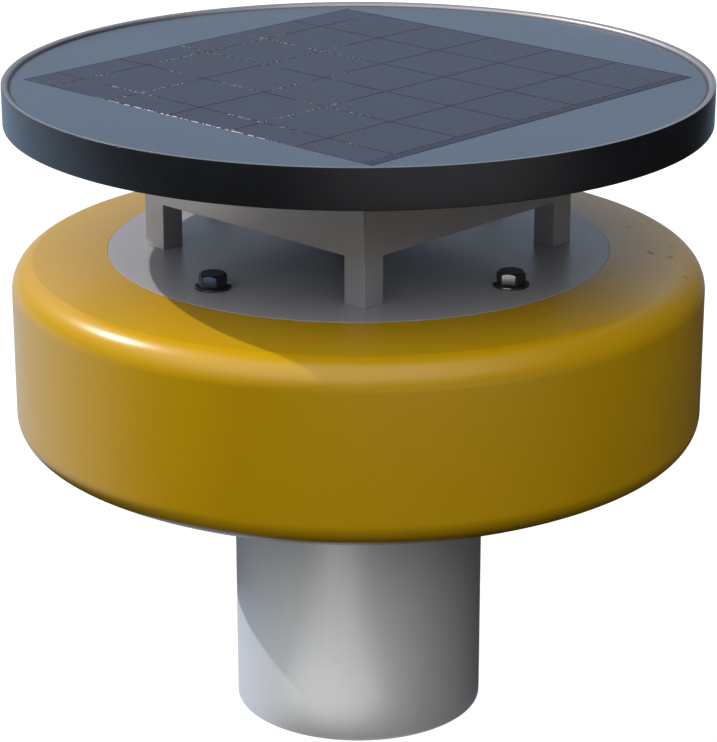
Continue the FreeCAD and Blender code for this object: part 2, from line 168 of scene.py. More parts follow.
class BuoyStageSizes(bpy.types.PropertyGroup):
    """Camera and light."""
    camera_turn: FloatProperty(
        name="Camera turn", description="Turn of the camera about the buoy's axis",
        default=math.radians(43.57), subtype="ANGLE")
    camera_tilt: FloatProperty(
        name="Camera tilt", description="How far the camera looks down",
        default=math.radians(19.39), subtype="ANGLE")
    camera_distance: FloatProperty(
        name="Camera distance", description="Level distance from the axis to the camera",
        default=2.5418, unit="LENGTH")
    camera_height: FloatProperty(
        name="Camera height", description="Height of the camera over the floor",
        default=1.2349, unit="LENGTH")
    lens: FloatProperty(
        name="Lens", description="Focal length of the camera, in mm", default=133.63, min=1.0)
    sun_turn: FloatProperty(
        name="Sun turn", description="Direction of the sun about the buoy's axis, from +X",
        default=math.radians(204.77), subtype="ANGLE")
    sun_height: FloatProperty(
        name="Sun height", description="Angle of the sun above the floor",
        default=math.radians(41.6), subtype="ANGLE")
    sun_strength: FloatProperty(
        name="Sun strength", description="Strength of the sun", default=2.3, min=0.0)
    shade_start: FloatProperty(
        name="Shade start", description="Distance of the shaded ground from the axis",
        default=0.125, unit="LENGTH")
    shade_reach: FloatProperty(
        name="Shade reach", description="How far the shaded ground reaches from the axis",
        default=1.8, unit="LENGTH")
    near_start: FloatProperty(
        name="Near start", description="Where the shaded ground starts at the back and left",
        default=0.3, unit="LENGTH")
    near_reach: FloatProperty(
        name="Near reach", description="How far the shaded ground reaches at the back and left",
        default=0.62, unit="LENGTH")
    glow_turn: FloatProperty(
        name="Glow turn", description="Direction of the ground glow, from the camera's right",
        default=math.radians(-107.0), subtype="ANGLE")
    glow_distance: FloatProperty(
        name="Glow distance", description="Distance of the glow's middle from the axis",
        default=0.46, unit="LENGTH")
    glow_length: FloatProperty(
        name="Glow length", description="Length of the glow, away from the tube",
        default=0.62, unit="LENGTH")
    glow_width: FloatProperty(
        name="Glow width", description="Width of the glow", default=0.22, unit="LENGTH")
    glow_strength: FloatProperty(
        name="Glow strength", description="Strength of the glow", default=0.42, min=0.0)
    bounce_strength: FloatProperty(
        name="Bounce strength", description="Strength of the float's light on the stand",
        default=0.024, min=0.0)
    glint_strength: FloatProperty(
        name="Glint strength", description="Strength of the glints in the bolts' flats",
        default=0.004, min=0.0)


def linear(text):
    """An sRGB hex value as a linear colour."""
    channels = []
    for start in (1, 3, 5):
        value = int(text[start:start + 2], 16) / 255
        channels.append(value / 12.92 if value <= 0.04045 else ((value + 0.055) / 1.055) ** 2.4)
    return (*channels, 1.0)


def add_node(tree, kind, inputs=None, **settings):
    """Adds one node with its settings, and gives its inputs a link, a value or a hex colour."""
    made = tree.nodes.new(kind)
    for key, value in settings.items():
        setattr(made, key, value)
    for key, value in (inputs or {}).items():
        if isinstance(value, bpy.types.NodeSocket):
            tree.links.new(value, made.inputs[key])
        else:
            made.inputs[key].default_value = linear(value) if isinstance(value, str) else value
    return made


def calculate(tree, value, *steps):
    """Carries a value through steps of arithmetic: an operation each, and any second value."""
    for operation, *second in steps:
        value = add_node(tree, "ShaderNodeMath", dict(enumerate((value, *second))),
                         operation=operation).outputs[0]
    return value


def per_mm(size):
    """A pattern's scale for features of this size in millimetres."""
    return 1 / (size * MM)


def surface(name, colour, roughness, metallic=0.0, ior=1.5):
    """A material with its principled shader, and its object coordinates."""
    material = bpy.data.materials.new(name)
    material.use_nodes = True
    tree = material.node_tree
    tree.nodes.clear()
    shader = add_node(tree, "ShaderNodeBsdfPrincipled", {
        "Base Color": colour, "Roughness": roughness, "Metallic": metallic, "IOR": ior})
    add_node(tree, "ShaderNodeOutputMaterial", {"Surface": shader.outputs[0]})
    place = add_node(tree, "ShaderNodeTexCoord").outputs["Object"]
    return material, tree, shader, place


def uneven(tree, place, size, detail=3.0, stretch=(1, 1, 1), roughness=0.55):
    """Uneven patches of this size in millimetres, drawn out by stretch."""
    scaled = add_node(tree, "ShaderNodeMapping", {"Vector": place, "Scale": stretch})
    return add_node(tree, "ShaderNodeTexNoise", {
        "Vector": scaled.outputs[0], "Scale": per_mm(size), "Detail": detail,
        "Roughness": roughness}).outputs[0]


def marks(tree, place, size, low, high, most=1.0, **drawn):
    """Uneven marks of this size in millimetres, as a share that goes from 0 to most where the
    pattern goes from low to high."""
    return add_node(tree, "ShaderNodeMapRange", {
        "Value": uneven(tree, place, size, **drawn), "From Min": low, "From Max": high,
        "To Max": most}).outputs[0]


def mask(tree, place, *bounds):
    """How far a place lies past every bound, as a share. Each bound is a direction and the two
    distances along it, in millimetres, between which the share goes from 0 to 1."""
    share = 1.0
    for direction, start, stop in bounds:
        along = add_node(tree, "ShaderNodeVectorMath", {0: place, 1: direction},
                         operation="DOT_PRODUCT")
        past = add_node(tree, "ShaderNodeMapRange", {
            "Value": along.outputs["Value"], "From Min": start * MM, "From Max": stop * MM})
        share = calculate(tree, past.outputs[0], ("MULTIPLY", share))
    return share


def layered(tree, colour, *layers):
    """A colour with others laid over it in turn. Each layer has the share of it that shows, its
    colour, and ADD where it is light that is added."""
    for share, over, *way in layers:
        colour = add_node(tree, "ShaderNodeMix", {0: share, 6: colour, 7: over}, data_type="RGBA",
                          blend_type=way[0] if way else "MIX").outputs[2]
    return colour


def roughen(tree, shader, pattern, least, most, depth):
    """Lets a pattern set the roughness, from least where it is low to most where it is high, and
    raise the surface by a depth in millimetres."""
    gloss = add_node(tree, "ShaderNodeMapRange", {
        "Value": pattern, "From Min": 0.3, "From Max": 0.7, "To Min": least, "To Max": most})
    tree.links.new(gloss.outputs[0], shader.inputs["Roughness"])
    if depth:
        bump = add_node(tree, "ShaderNodeBump", {"Height": pattern, "Distance": depth * MM})
        tree.links.new(bump.outputs[0], shader.inputs["Normal"])


def plain_finish(name, colour, second, patch, roughness, swing, grain, depth, stretch=(1, 1, 1),
                 **extra):
    """A finish with slow patches of a second colour, uneven gloss and a fine grain."""
    material, tree, shader, place = surface(name, colour, roughness, **extra)
    tone = layered(tree, colour, (marks(tree, place, patch, 0.35, 0.7), second))
    tree.links.new(tone, shader.inputs["Base Color"])
    roughen(tree, shader, uneven(tree, place, grain, stretch=stretch), roughness - swing,
            roughness + swing, depth)
    return material


def marked_finish(name, colour, second, third, patch, grain, detail, stretch, low, high, gloss,
                  depth=0.0, **extra):
    """A finish with slow patches of a second colour and faint fine marks of a third, which also
    set its gloss."""
    material, tree, shader, place = surface(name, colour, gloss[0], **extra)
    fine = marks(tree, place, grain, low, high, 0.15, detail=detail, stretch=stretch)
    tone = layered(tree, colour, (marks(tree, place, patch, 0.3, 0.7), second), (fine, third))
    tree.links.new(tone, shader.inputs["Base Color"])
    roughen(tree, shader, uneven(tree, place, grain, detail, stretch), *gloss, depth)
    return material


def moulded_polyethylene(colour):
    """Polyethylene, rotationally moulded and pigmented: a soft gloss with a faint haze of fine
    scratches, and a few dull spots where dirt has dried on the right of the top."""
    material, tree, shader, place = surface("rotomoulded polyethylene", colour, 0.3, ior=1.49)
    top = FLOAT_HIGH[2]
    dried = calculate(
        tree, marks(tree, place, 16.0, 0.7, 0.76, detail=1.0, roughness=0.4),
        ("MULTIPLY", mask(tree, place, ((0, 0, 1), top - 14, top - 10), ((1, 1, 0), 300, 380))))
    tone = layered(tree, colour, (marks(tree, place, 240.0, 0.35, 0.7), "#c99b02"),
                   (dried, "#c08f14"))
    tree.links.new(tone, shader.inputs["Base Color"])
    haze = marks(tree, place, 60.0, 0.3, 0.75, 0.04, detail=4.0, roughness=0.6)
    gloss = calculate(tree, dried, ("MULTIPLY", 0.3), ("ADD", haze), ("ADD", 0.28))
    tree.links.new(gloss, shader.inputs["Roughness"])
    bump = add_node(tree, "ShaderNodeBump", {
        "Height": uneven(tree, place, 9.0), "Distance": 0.015 * MM})
    tree.links.new(bump.outputs[0], shader.inputs["Normal"])
    return material


def laminate_sheet():
    """Resin-bonded backing sheet, seen as brown lines between the cells, and bluer in the strip
    that carries the ribbons. Pale flecks along the lines towards the front left are painted glints,
    and white dashes along the front edge are painted glints too."""
    material, tree, shader, place = surface("resin-bonded backing sheet", "#2e2a2a", 0.5, ior=1.15)
    x, y = (1, 0, 0), (0, 1, 0)
    # The ribbons' strip at the high x edge, the low edges that stay free of painted glints, the
    # edge at the low y side, and the stretch of it where painted glints are drawn
    cells = (x, SHEET_HIGH[0] - 10, SHEET_HIGH[0] - 12)
    inside = [(way, low + 1.5, low + 2.5) for way, low in ((x, SHEET_LOW[0]), (y, SHEET_LOW[1]))]
    front = (y, SHEET_LOW[1] + 1.3, SHEET_LOW[1] + 1.1)
    middle = [(x, -130, -70), (x, 130, 70)]
    # Painted glints: pale flecks along the lines, in slow patches and only towards the front left,
    # where the sun's glints fall
    glint_pattern = marks(tree, place, 2.5, 0.54, 0.6, detail=2.0)
    painted_glints = calculate(
        tree, glint_pattern, ("MULTIPLY", marks(tree, place, 90.0, 0.46, 0.54, detail=1.0)),
        ("MULTIPLY", mask(tree, place, ((1, 1, 0), 60, -60), *inside, cells)))
    # Painted glints: near-white dashes along the front edge, only in the stretch that faces the sun
    painted_edge_glints = calculate(
        tree, marks(tree, place, 7.0, 0.48, 0.52, detail=1.0, stretch=x),
        ("MULTIPLY", mask(tree, place, front, *middle)))
    tone = layered(tree, "#2a2e38", (mask(tree, place, cells), "#2e2a2a"), (painted_glints, "#a39e9b"),
                   (painted_edge_glints, "#efece6"))
    tree.links.new(tone, shader.inputs["Base Color"])
    gloss = calculate(tree, glint_pattern, ("MULTIPLY", -0.2), ("ADD", 0.5))
    tree.links.new(gloss, shader.inputs["Roughness"])
    return material


def silicon_cell(colour):
    """Silicon cells, saw-cut and etched, under clear resin: dark blue with a fine grain along x and
    scattered dark pits."""
    material, tree, shader, place = surface("etched silicon under resin", colour, 0.38, ior=1.38)
    sawn = {"detail": 4.0, "stretch": (0.35, 1, 1), "roughness": 0.65}
    cloud = marks(tree, place, 26.0, 0.4, 0.7, 0.5, detail=4.0, stretch=(0.6, 1, 1))
    spread = add_node(tree, "ShaderNodeTexVoronoi", {"Vector": place, "Scale": per_mm(8.0)})
    pits = add_node(tree, "ShaderNodeMapRange", {
        "Value": spread.outputs["Distance"], "From Min": 0.08, "From Max": 0.16, "To Min": 0.75,
        "To Max": 0.0})
    tone = layered(tree, colour, (marks(tree, place, 3.4, 0.35, 0.65, **sawn), "#2b3344"),
                   (cloud, "#263044"), (pits.outputs[0], "#0c0e14"))
    tree.links.new(tone, shader.inputs["Base Color"])
    roughen(tree, shader, uneven(tree, place, 3.4, **sawn), 0.34, 0.5, 0.03)
    return material


def make_materials(float_colour, cell_colour):
    """Every material, by the slot of the CAD nodes that wear it."""
    return {
        "float_skin": moulded_polyethylene(float_colour),
        "laminate_sheet": laminate_sheet(),
        "cell_surface": silicon_cell(cell_colour),
        # Aluminium under black powder coat: a satin black that goes pale only at a low angle
        "tray_coat": plain_finish("black powder-coated aluminium", "#1a1b1d", "#202224", 60.0,
                                  0.32, 0.05, 1.6, 0.02),
        # Aluminium, turned bare on the tray's lip and dulled by weather: a dark satin metal that
        # brightens where its round faces the sun
        "lip": plain_finish("weathered turned aluminium", "#a09d9f", "#989597", 40.0, 0.5, 0.04,
                            1.2, 0.005, metallic=1.0),
        # Glass-fibre sheet under clear resin: a blue-grey satin face with a barely seen weave
        "module_sheet": marked_finish("glass-fibre sheet under resin", "#3d4c5c", "#425161",
                                      "#364554", 120.0, 1.8, 3.0, (1, 0.3, 1), 0.35, 0.7,
                                      (0.32, 0.38)),
        # Copper ribbon, hot-tinned and laid under the cells' dark resin: nearly as blue as they are
        "ribbon_metal": plain_finish("tinned copper", "#2b3344", "#333c50", 6.0, 0.42, 0.05, 1.5,
                                     0.02, metallic=0.15),
        # Welded aluminium under sprayed metal-flake paint: a grey with a soft metal sheen, so that
        # it takes up the light or the dark of the deck before it
        "stand_paint": plain_finish("sprayed metal-flake paint", "#b4b5b8", "#babbbe", 45.0, 0.38,
                                    0.04, 2.0, 0.02, metallic=0.2),
        # Aluminium plate, rolled and painted thinly in grey: an even satin face
        "deck_paint": marked_finish("painted aluminium plate", "#b2b1b3", "#b7b6b8", "#a6a5a7",
                                    70.0, 5.0, 3.0, (0.4, 1, 1), 0.45, 0.75, (0.3, 0.38), 0.004),
        # Welded aluminium tube under clear satin varnish: pale grey, with fine marks along it
        "tube_metal": marked_finish("varnished aluminium tube", "#e2e2e0", "#e6e6e4", "#d3d4d5",
                                    80.0, 3.0, 4.0, (1, 1, 0.03), 0.45, 0.8, (0.36, 0.41), 0.004,
                                    metallic=0.15),
        # Steel, blackened and oiled: a black with a soft gloss, whose flats pick up the sky
        "bolt_black": plain_finish("blackened steel", "#1d1c1c", "#232221", 8.0, 0.24, 0.01, 1.5,
                                   0.0005, ior=1.7),
        # Nitrile rubber, extruded: dark and dull
        "seal_rubber": plain_finish("extruded nitrile rubber", "#3a4048", "#434951", 20.0, 0.55,
                                    0.08, 1.5, 0.03),
        # Glass-filled nylon, moulded: black with a slight sheen
        "black_plastic": plain_finish("moulded glass-filled nylon", "#1b1b1c", "#242425", 12.0,
                                      0.48, 0.07, 1.2, 0.03, ior=1.53),
        # Stainless steel, turned and tumbled: a warm light metal
        "stainless": plain_finish("turned stainless steel", "#b9b6b0", "#a8a6a2", 8.0, 0.3, 0.07,
                                  1.2, 0.015, metallic=1.0),
        # Grey iron, cast and painted: coarse and dull
        "ballast_iron": plain_finish("painted cast iron", "#2c2d2e", "#3a3836", 14.0, 0.6, 0.1,
                                     3.0, 0.15),
        # ABS, moulded: a charcoal case with a fine spark texture
        "battery_case": plain_finish("moulded ABS", "#2a2b2e", "#323336", 16.0, 0.5, 0.06, 1.2,
                                     0.03, ior=1.53),
        # Aluminium sheet as rolled: pale with fine streaks along x
        "shelf_metal": plain_finish("rolled aluminium sheet", "#c3c4c7", "#b2b4b8", 25.0, 0.36,
                                    0.07, 2.0, 0.015, stretch=(0.1, 1, 1), metallic=1.0),
        # Polycarbonate, moulded: light grey and satin
        "case_plastic": plain_finish("moulded polycarbonate", "#a3a6aa", "#adb0b4", 20.0, 0.4,
                                     0.05, 1.5, 0.02, ior=1.58),
    }


def mesh_object(name, points, faces=(), edges=()):
    """An object whose mesh is given in millimetres."""
    mesh = bpy.data.meshes.new(name)
    mesh.from_pydata([[value * MM for value in point] for point in points], edges, faces)
    mesh.validate()
    return linked(name, mesh)


def linked(name, data):
    """A new object in the scene that shows this mesh, lamp or camera."""
    made = bpy.data.objects.new(name, data)
    bpy.context.scene.collection.objects.link(made)
    return made


def new_tree(name, sizes):
    """A geometry tree and its inputs: a geometry, and the named sizes, each (name, kind, value)."""
    tree = bpy.data.node_groups.new(name, "GeometryNodeTree")
    tree.interface.new_socket("Geometry", in_out="INPUT", socket_type="NodeSocketGeometry")
    for label, kind, _ in sizes:
        tree.interface.new_socket(label, in_out="INPUT", socket_type="NodeSocket" + kind)
    tree.interface.new_socket("Geometry", in_out="OUTPUT", socket_type="NodeSocketGeometry")
    return tree, add_node(tree, "NodeGroupInput").outputs


def bake(host, tree, geometry, sizes, name, material, sharp_angle=SHARP):
    """Ends the tree in real geometry with its material set, runs it on its host object, and
    returns the result as a plain mesh object."""
    real = add_node(tree, "GeometryNodeRealizeInstances", {0: geometry})
    dressed = add_node(tree, "GeometryNodeSetMaterial", {
        "Geometry": real.outputs[0], "Material": material})
    add_node(tree, "NodeGroupOutput", {0: dressed.outputs[0]})
    modifier = host.modifiers.new("shape", "NODES")
    modifier.node_group = tree
    sockets = {item.name: item.identifier for item in tree.interface.items_tree
               if item.in_out == "INPUT"}
    for label, _, value in sizes:
        modifier[sockets[label]] = value
    host.data.update()
    graph = bpy.context.evaluated_depsgraph_get()
    mesh = bpy.data.meshes.new_from_object(host.evaluated_get(graph))
    mesh.name = name
    bpy.data.objects.remove(host)
    if not mesh.materials:
        mesh.materials.append(material)
    shade(mesh, sharp_angle)
    return linked(name, mesh)


def copies_of(tree, piece, count, spot=None, **inputs):
    """This many copies of a piece, each at its own spot, and turned or scaled by the inputs."""
    points = add_node(tree, "GeometryNodePoints", {"Count": count})
    if spot is not None:
        points = add_node(tree, "GeometryNodeSetPosition", {
            "Geometry": points.outputs[0], "Position": spot})
    return add_node(tree, "GeometryNodeInstanceOnPoints", {
        "Points": points.outputs[0], "Instance": piece, **inputs}).outputs[0]


def shade(mesh, sharp_angle):
    mesh.shade_smooth()
    mesh.set_sharp_from_angle(angle=math.radians(sharp_angle))


def arc_points(centre, radius, start, end, steps):
    """Points of an arc in the plane of radius and height. Angles are in degrees from outward."""
    points = []
    for step in range(steps + 1):
        angle = math.radians(start + (end - start) * step / steps)
        points.append((centre[0] + radius * math.cos(angle), centre[1] + radius * math.sin(angle)))
    return points


def rounded(corners, steps=4):
    """A closed outline of (radius, height, rounding) corners, with the roundings as arcs."""
    points = []
    count = len(corners)
    for index, (across, up, rounding) in enumerate(corners):
        here = Vector((across, up))
        if not rounding:
            points.append((across, up))
            continue
        back = (Vector(corners[index - 1][:2]) - here).normalized()
        ahead = (Vector(corners[(index + 1) % count][:2]) - here).normalized()
        half = back.angle(ahead) / 2
        start = here + back * (rounding / math.tan(half))
        end = here + ahead * (rounding / math.tan(half))
        centre = here + (back + ahead).normalized() * (rounding / math.sin(half))
        for step in range(steps + 1):
            share = step / steps
            spoke = (start - centre).slerp(end - centre, share)
            points.append(tuple(centre + spoke.normalized() * rounding))
    return points


# The outline runs along a circle of this radius, and its own radii are counted from there
PATH_RADIUS = 100.0


def turned(name, outline, segments, material, sharp_angle=SHARP):
    """Revolves a closed outline of (radius, height) points about the buoy's axis."""
    points = [(across - PATH_RADIUS, -up, 0) for across, up in outline]
    edges = [(index, (index + 1) % len(points)) for index in range(len(points))]
    host = mesh_object(name + "_outline", points, edges=edges)
    sizes = [("Segments", "Int", segments), ("Path radius", "Float", PATH_RADIUS * MM)]
    tree, given = new_tree("turned " + name, sizes)
    profile = add_node(tree, "GeometryNodeMeshToCurve", {"Mesh": given["Geometry"]})
    path = add_node(tree, "GeometryNodeCurvePrimitiveCircle", {
        "Resolution": given["Segments"], "Radius": given["Path radius"]})
    skin = add_node(tree, "GeometryNodeCurveToMesh", {
        "Curve": path.outputs["Curve"], "Profile Curve": profile.outputs["Curve"]})
    made = bake(host, tree, skin.outputs["Mesh"], sizes, name, material, sharp_angle)
    face_outwards(made, sharp_angle)
    return made


def face_outwards(piece, sharp_angle):
    """Joins a closed mesh's doubled points, turns its faces outwards and shades it again."""
    shape = bmesh.new()
    shape.from_mesh(piece.data)
    bmesh.ops.remove_doubles(shape, verts=shape.verts, dist=SAME_PLACE)
    bmesh.ops.recalc_face_normals(shape, faces=shape.faces)
    if shape.calc_volume(signed=True) < 0:
        bmesh.ops.reverse_faces(shape, faces=shape.faces)
    shape.to_mesh(piece.data)
    shape.free()
    shade(piece.data, sharp_angle)


def fine_copy(node, name, slot, edge):
    """A merged copy of a CAD node's mesh, with smooth faces and its edges rounded by edge
    millimetres, in its place on the buoy."""
    mesh = frame["nodes"][node].data.copy()
    mesh.name = name
    shape = bmesh.new()
    shape.from_mesh(mesh)
    bmesh.ops.remove_doubles(shape, verts=shape.verts, dist=SAME_PLACE)
    bmesh.ops.dissolve_limit(shape, angle_limit=math.radians(FLAT), verts=shape.verts,
                             edges=shape.edges)
    shape.to_mesh(mesh)
    shape.free()
    if mesh.has_custom_normals:
        mesh.normals_split_custom_set([(0, 0, 0)] * len(mesh.loops))
    made = linked(name, mesh)
    mesh.materials.clear()
    mesh.materials.append(materials[slot])
    shade(mesh, SHARP)
    round_edges(made, edge)
    place(made, slot, node)


def round_edges(piece, width, segments=3):
    bevel = piece.modifiers.new("edges", "BEVEL")
    bevel.width = width * MM
    bevel.segments = segments
    bevel.limit_method = "ANGLE"
    bevel.angle_limit = math.radians(ROUNDED_FROM)
    bevel.harden_normals = True


def place(piece, slot, *nodes):
    """Ties a finished piece to the buoy's one body, and hides the CAD nodes that it stands for."""
    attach(piece, "root")
    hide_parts(*nodes)


materials = {}


def sizes_of(kind):
    return getattr(bpy.context.scene, kind)


def towards(turn, lift=0.0):
    """A unit direction, turned about the axis from +X and lifted above the floor."""
    return Vector((math.cos(turn) * math.cos(lift), math.sin(turn) * math.cos(lift),
                   math.sin(lift)))


class BUOY_OT_finishes(bpy.types.Operator):
    """Makes the materials and gives every CAD node its own"""
    bl_idname = "buoy.finishes"
    bl_label = "Finishes"

    def execute(self, context):
        materials.update(make_materials(
            sizes_of("buoy_float").colour, sizes_of("buoy_panel").cell_colour))
        for item in frame["record"]["subparts"]:
            node = frame["nodes"][item["node"]]
            node.data.materials.clear()
            node.data.materials.append(materials[item["material_slot"]])
        return {"FINISHED"}


class BUOY_OT_float(bpy.types.Operator):
    """Builds the float's skin"""
    bl_idname = "buoy.float_skin"
    bl_label = "Float"

    def execute(self, context):
        own = sizes_of("buoy_float")
        radius = FLOAT_HIGH[0]
        low = FLOAT_LOW[2]
        seat = DECK_LOW[2]
        recess = DECK_HIGH[0] + SLIP_GAP
        tilt = math.degrees(own.shoulder_tilt)
        flat = radius - own.crown_inset
        crown = (flat, low + own.bottom_crown)
        across = own.crown_inset - own.bottom_round
        down = math.sqrt((own.bottom_crown - own.bottom_round) ** 2 - across ** 2)
        small = (radius - own.bottom_round, crown[1] - down)
        touch = math.degrees(math.atan2(-down, across))
        shoulder = seat - own.shoulder_drop
        top = (radius - own.top_round, shoulder - own.top_round * math.cos(own.shoulder_tilt))
        outline = [(BORE_RADIUS, low)]
        outline += arc_points(crown, own.bottom_crown, -90.0, touch, 16)
        outline += arc_points(small, own.bottom_round, touch, 0.0, 16)[1:]
        outline += arc_points(top, own.top_round, 0.0, 90.0 - tilt, 24)
        outline += [(recess, FLOAT_HIGH[2]), (recess, seat), (FLANGE_RADIUS, seat),
                    (FLANGE_RADIUS, FLANGE_LOW), (BORE_RADIUS, FLANGE_LOW)]
        skin = turned("float_skin", outline, own.segments, materials["float_skin"], SHOULDER_LINE)
        place(skin, "float_skin", "float_body")
        return {"FINISHED"}


class BUOY_OT_tray(bpy.types.Operator):
    """Builds the tray, with its coated wall and its bare lip"""
    bl_idname = "buoy.tray"
    bl_label = "Tray"

    def execute(self, context):
        own = sizes_of("buoy_panel")
        outer = TRAY_HIGH[0]
        inner = outer - own.rim_wall
        low, high = TRAY_LOW[2], TRAY_HIGH[2]
        floor = low + own.floor
        # The pan starts this far from its axis, where the board hides it
        middle = 1.0
        foot_round = 1.2
        outline = rounded([
            (middle, low, 0), (outer, low, foot_round), (outer, high, EDGE),
            (inner, high, LIP_ROUND), (inner, BOARD_HIGH[2] - LIP_DEPTH, 0), (inner, floor, 0),
            (middle, floor, 0)], steps=8)
        pan = turned("tray_pan", outline, sizes_of("buoy_float").segments, materials["tray_coat"])
        pan.data.materials.append(materials["lip"])
        for face in pan.data.polygons:
            across = math.hypot(face.center.x, face.center.y) / MM
            if across < outer - EDGE and face.center.z / MM > BOARD_HIGH[2] - LIP_DEPTH:
                face.material_index = 1
        place(pan, "tray_coat", "panel_tray")
        return {"FINISHED"}


class BUOY_OT_cells(bpy.types.Operator):
    """Lays the cells out from the half cell in the corner, and finishes the sheet and board"""
    bl_idname = "buoy.cells"
    bl_label = "Cells"

    def execute(self, context):
        own = sizes_of("buoy_panel")
        corner = Vector((SHEET_LOW[0], SHEET_LOW[1], CELL_LOW[2])) * MM
        sizes = [
            ("Rows", "Int", own.cell_rows),
            ("Pitch", "Float", own.cell_pitch * MM),
            ("Gap", "Float", own.cell_gap * MM),
            ("Thickness", "Float", (CELL_HIGH[2] - CELL_LOW[2]) * MM),
            ("Corner", "Vector", tuple(corner)),
        ]
        host = mesh_object("cells_host", [(0, 0, 0)])
        tree, given = new_tree("cells in rows", sizes)
        rows = given["Rows"]
        count = calculate(tree, rows, ("MULTIPLY", rows))
        index = add_node(tree, "GeometryNodeInputIndex").outputs[0]
        middles = []
        spans = []
        for number in (calculate(tree, index, ("MODULO", rows)),
                       calculate(tree, index, ("DIVIDE", rows), ("FLOOR",))):
            # The first cell of each row is a half one
            start = calculate(tree, number, ("SUBTRACT", 0.5), ("MAXIMUM", 0.0),
                              ("MULTIPLY", given["Pitch"]))
            stop = calculate(tree, number, ("ADD", 0.5), ("MULTIPLY", given["Pitch"]))
            middles.append(calculate(tree, start, ("ADD", stop), ("MULTIPLY", 0.5)))
            spans.append(calculate(tree, stop, ("SUBTRACT", start), ("SUBTRACT", given["Gap"])))
        half = calculate(tree, given["Thickness"], ("MULTIPLY", 0.5))
        middle = add_node(tree, "ShaderNodeCombineXYZ", {0: middles[0], 1: middles[1], 2: half})
        spot = add_node(tree, "ShaderNodeVectorMath", {
            0: middle.outputs[0], 1: given["Corner"]}, operation="ADD")
        size = add_node(tree, "ShaderNodeCombineXYZ", {
            0: spans[0], 1: spans[1], 2: given["Thickness"]})
        tile = add_node(tree, "GeometryNodeMeshCube", {"Size": (1, 1, 1)})
        tiles = copies_of(tree, tile.outputs[0], count, spot.outputs[0], Scale=size.outputs[0])
        cells = bake(host, tree, tiles, sizes, "cells", materials["cell_surface"])
        round_edges(cells, 0.2, segments=1)
        place(cells, "cell_surface", "solar_cells")
        fine_copy("cell_laminate", "backing_sheet", "laminate_sheet", edge=0.15)
        fine_copy("module_board", "fibre_board", "module_sheet", edge=0.3)
        return {"FINISHED"}


class BUOY_OT_stand(bpy.types.Operator):
    """Builds the welded stand: four posts and the skirt between them, ground flush and painted"""
    bl_idname = "buoy.stand"
    bl_label = "Stand"

    def execute(self, context):
        outer = -POST_LOW[0]
        inner = -POST_HIGH[0]
        plate = -SKIRT_HIGH[1]
        low, edge, high = POST_LOW[2], SKIRT_LOW[2], POST_HIGH[2]
        points = []
        faces = []

        def face(*corners):
            faces.append(tuple(range(len(points), len(points) + len(corners))))
            points.extend(corners)

        # front of the post and skirt, and the post's left side
        face((-outer, -outer, low), (-inner, -outer, low), (-inner, -outer, edge),
             (inner, -outer, edge), (inner, -outer, high), (-outer, -outer, high))
        face((-outer, -outer, low), (-outer, -outer, high), (-outer, -inner, high),
             (-outer, -inner, edge), (-outer, -inner, low))
        # the post's two inner sides, cut round the skirt plates
        face((-inner, -outer, low), (-inner, -inner, low), (-inner, -inner, high),
             (-inner, -plate, high), (-inner, -plate, edge), (-inner, -outer, edge))
        face((-outer, -inner, low), (-outer, -inner, edge), (-plate, -inner, edge),
             (-plate, -inner, high), (-inner, -inner, high), (-inner, -inner, low))
        # the skirt's inner face and lower edge
        face((-inner, -plate, edge), (-inner, -plate, high), (inner, -plate, high),
             (inner, -plate, edge))
        face((-inner, -outer, edge), (-inner, -plate, edge), (inner, -plate, edge),
             (inner, -outer, edge))
        # foot and top
        face((-outer, -outer, low), (-outer, -inner, low), (-inner, -inner, low),
             (-inner, -outer, low))
        face((-outer, -outer, high), (-inner, -outer, high), (-inner, -plate, high),
             (-inner, -inner, high), (-plate, -inner, high), (-outer, -inner, high))
        face((-inner, -outer, high), (inner, -outer, high), (inner, -plate, high),
             (-inner, -plate, high))
        host = mesh_object("stand_quarter", points, faces)
        sizes = [("Sides", "Int", 4)]
        tree, given = new_tree("stand sides", sizes)
        index = add_node(tree, "GeometryNodeInputIndex").outputs[0]
        step = calculate(tree, math.tau, ("DIVIDE", given["Sides"]))
        turn = add_node(tree, "ShaderNodeCombineXYZ", {
            2: calculate(tree, index, ("MULTIPLY", step))})
        copies = copies_of(tree, given["Geometry"], given["Sides"], Rotation=turn.outputs[0])
        stand = bake(host, tree, copies, sizes, "welded_stand", materials["stand_paint"])
        face_outwards(stand, SHARP)
        round_edges(stand, sizes_of("buoy_deck").edge_round)
        place(stand, "stand_paint", *[name for name in frame["nodes"]
                                      if name.startswith(("stand_post", "stand_skirt"))])
        return {"FINISHED"}


